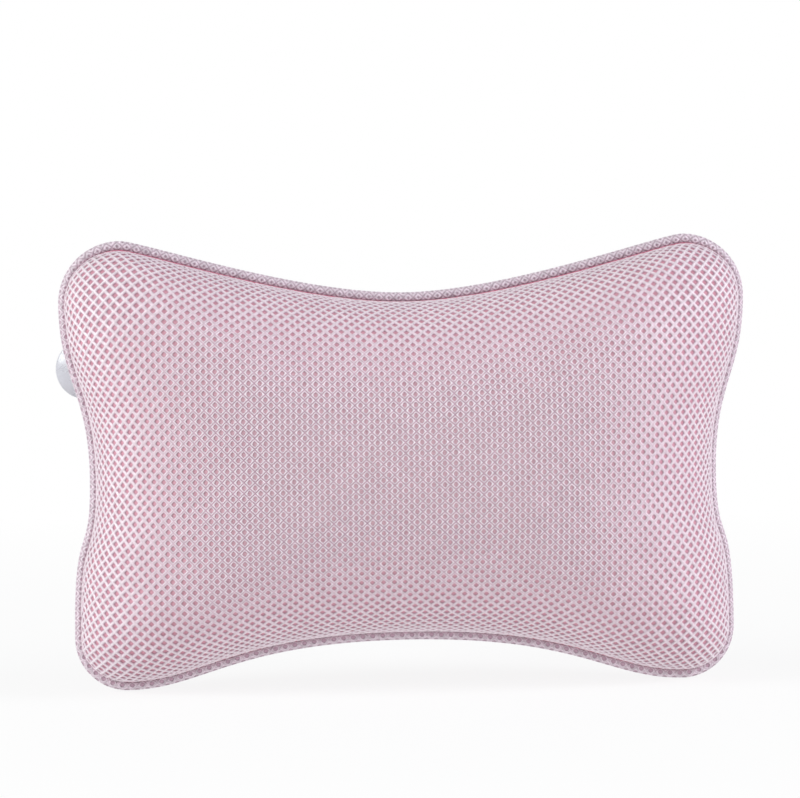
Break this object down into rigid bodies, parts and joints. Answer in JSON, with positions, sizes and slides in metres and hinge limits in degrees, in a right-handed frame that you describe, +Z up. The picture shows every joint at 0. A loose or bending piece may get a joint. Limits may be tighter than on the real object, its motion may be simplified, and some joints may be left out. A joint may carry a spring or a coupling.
{
  "type": "bath pillow",
  "caption": "Stuffed headrest of pink air mesh with a waisted outline and a piped edge, hung on a bath's wall by suction cups on cloth tabs.",
  "frame": {"origin": "on the plane of the wall that the cups hold to, behind the middle of the pillow", "axes": "+X to the right as seen from the front, +Y from the pillow to the wall, +Z up"},
  "size_m": [0.3026, 0.0891, 0.1956],
  "materials": {
    "air_mesh": "matte",
    "piping_mesh": "matte",
    "cord": "matte",
    "fibre": "matte",
    "tab_cloth": "matte",
    "eyelet_nickel": "polished",
    "cup_vinyl": "gloss"
  },
  "bodies": {
    "pillow": {"front_mesh_panel": "air_mesh", "rear_mesh_panel": "air_mesh", "piping_cover": "piping_mesh", "piping_cord": "cord", "fibre_filling": "fibre", "left_tab_sewn_end": "tab_cloth", "right_tab_sewn_end": "tab_cloth"},
    "left_tab": {"left_tab": "tab_cloth", "left_eyelet": "eyelet_nickel", "left_eyelet_washer": "eyelet_nickel"},
    "left_cup": {"left_suction_cup": "cup_vinyl"},
    "right_tab": {"right_tab": "tab_cloth", "right_eyelet": "eyelet_nickel", "right_eyelet_washer": "eyelet_nickel"},
    "right_cup": {"right_suction_cup": "cup_vinyl"}
  },
  "joints": [
    {"name": "left_tab_swing", "type": "hinge", "parent": "pillow", "child": "left_tab", "pos_m": [-0.1088, -0.0089, 0.0405], "axis": [0, 0, -1], "range_deg": [-4, 80]},
    {"name": "left_cup_swivel", "type": "hinge", "parent": "left_tab", "child": "left_cup", "pos_m": [-0.1378, 0, 0.0405], "axis": [0, 1, 0], "continuous": true},
    {"name": "right_tab_swing", "type": "hinge", "parent": "pillow", "child": "right_tab", "pos_m": [0.1088, -0.0089, 0.0405], "axis": [0, 0, 1], "range_deg": [-4, 80]},
    {"name": "right_cup_swivel", "type": "hinge", "parent": "right_tab", "child": "right_cup", "pos_m": [0.1378, 0, 0.0405], "axis": [0, 1, 0], "continuous": true}
  ]
}
